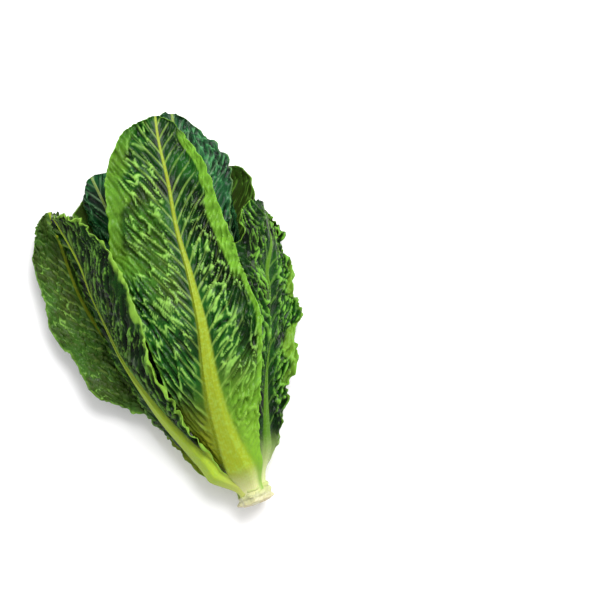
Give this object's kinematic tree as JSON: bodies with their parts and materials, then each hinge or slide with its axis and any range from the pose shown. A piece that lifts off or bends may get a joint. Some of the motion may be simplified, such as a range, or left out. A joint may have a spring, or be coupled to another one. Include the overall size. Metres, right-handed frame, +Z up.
{
  "type": "romaine lettuce head",
  "caption": "Head of romaine lettuce lying on its side: long upright-growing leaves with broad pale midribs, loosely layered round a short cut stem and splayed a little to both sides.",
  "frame": {"origin": "on the table, under the middle of the head", "axes": "+Y along the head from the cut stem to the leaf tips, +X to the right seen from above, +Z up"},
  "size_m": [0.2028, 0.317, 0.0777],
  "materials": {
    "stem": "satin",
    "heart_leaf": "satin",
    "middle_leaf": "satin",
    "outer_leaf": "satin"
  },
  "bodies": {
    "root": {"stem": "stem", "heart_leaf_1": "heart_leaf", "heart_leaf_2": "heart_leaf", "heart_leaf_3": "heart_leaf", "heart_leaf_4": "heart_leaf", "inner_leaf_right": "middle_leaf", "inner_leaf_left": "middle_leaf", "inner_leaf_under": "middle_leaf", "side_leaf_right": "middle_leaf", "back_leaf_left": "middle_leaf", "back_leaf_right": "middle_leaf", "under_leaf_left": "outer_leaf", "under_leaf_right": "outer_leaf", "side_leaf_left": "outer_leaf", "splayed_leaf_right": "outer_leaf", "splayed_leaf_left": "outer_leaf", "top_leaf": "outer_leaf"}
  },
  "joints": []
}
